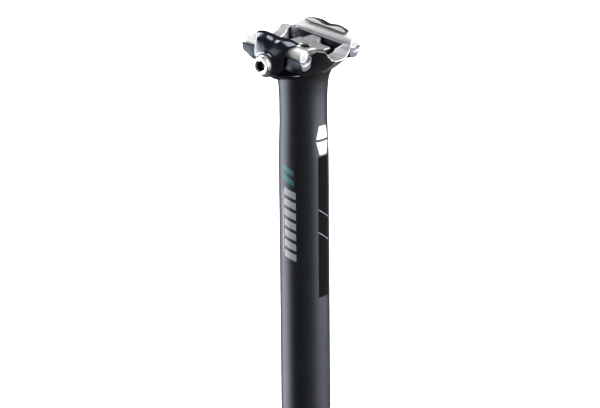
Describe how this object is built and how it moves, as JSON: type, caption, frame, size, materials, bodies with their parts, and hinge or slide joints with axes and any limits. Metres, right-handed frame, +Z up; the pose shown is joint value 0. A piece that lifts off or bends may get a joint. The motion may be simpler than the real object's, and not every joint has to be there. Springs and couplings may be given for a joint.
{
  "type": "bicycle seatpost with tilting saddle clamp",
  "caption": "Round post with a cup-shaped head, a tilting cradle and two side jaws that one cross bolt closes on the saddle rails.",
  "frame": {"origin": "on the axis of the post, at the centre of its lower end", "axes": "+Z up along the post, -Y towards the saddle's nose, -X towards the head of the clamp bolt (the rider's right)"},
  "size_m": [0.0667, 0.0498, 0.3587],
  "materials": {
    "carbon": "matte clear coat over black carbon composite",
    "head_black": "forged, black textured anodising, silver machined edges",
    "cradle_silver": "blasted silver",
    "rail_clamp_grey": "satin blue-grey anodising",
    "outer_clamp_black": "polished black anodising",
    "rod_silver": "drawn and tumbled, pale silver",
    "bolt_steel": "bright plated",
    "washer_steel": "turned",
    "nut_steel": "turned"
  },
  "bodies": {
    "post": {"carbon_shaft": "carbon", "forged_head": "head_black"},
    "cradle": {"rail_cradle": "cradle_silver", "right_lower_rail_clamp": "rail_clamp_grey", "left_lower_rail_clamp": "rail_clamp_grey"},
    "right_jaw": {"right_outer_clamp": "outer_clamp_black", "bolt_washer": "washer_steel"},
    "left_jaw": {"left_outer_clamp": "outer_clamp_black", "barrel_nut": "nut_steel"},
    "bolt": {"clamp_bolt": "bolt_steel"},
    "right_rod": {"right_shipping_rod": "rod_silver"},
    "left_rod": {"left_shipping_rod": "rod_silver"}
  },
  "joints": [
    {"name": "head_tilt", "type": "hinge", "parent": "post", "child": "cradle", "pos_m": [0, 0.0006, 0.35], "axis": [1, 0, 0], "range_deg": [-15, 15]},
    {"name": "right_jaw_slide", "type": "slide", "parent": "cradle", "child": "right_jaw", "axis": [-1, 0, 0], "range_m": [0, 0.002]},
    {"name": "left_jaw_slide", "type": "slide", "parent": "cradle", "child": "left_jaw", "axis": [1, 0, 0], "range_m": [0, 0.002]},
    {"name": "bolt_turn", "type": "hinge", "parent": "right_jaw", "child": "bolt", "pos_m": [-0.033, 0.00189, 0.3416], "axis": [-1, 0, 0], "range_deg": [0, 1440]},
    {"name": "right_rod_slide", "type": "slide", "parent": "cradle", "child": "right_rod", "axis": [0, -0.9884, -0.1521], "range_m": [-0.015, 0.015]},
    {"name": "left_rod_slide", "type": "slide", "parent": "cradle", "child": "left_rod", "axis": [0, -0.9884, -0.1521], "range_m": [-0.015, 0.015]}
  ],
  "couplings": [
    {"joint": "left_jaw_slide", "follows": "right_jaw_slide", "ratio": 1},
    {"joint": "bolt_turn", "follows": "right_jaw_slide", "rad_per_m": 12566}
  ]
}
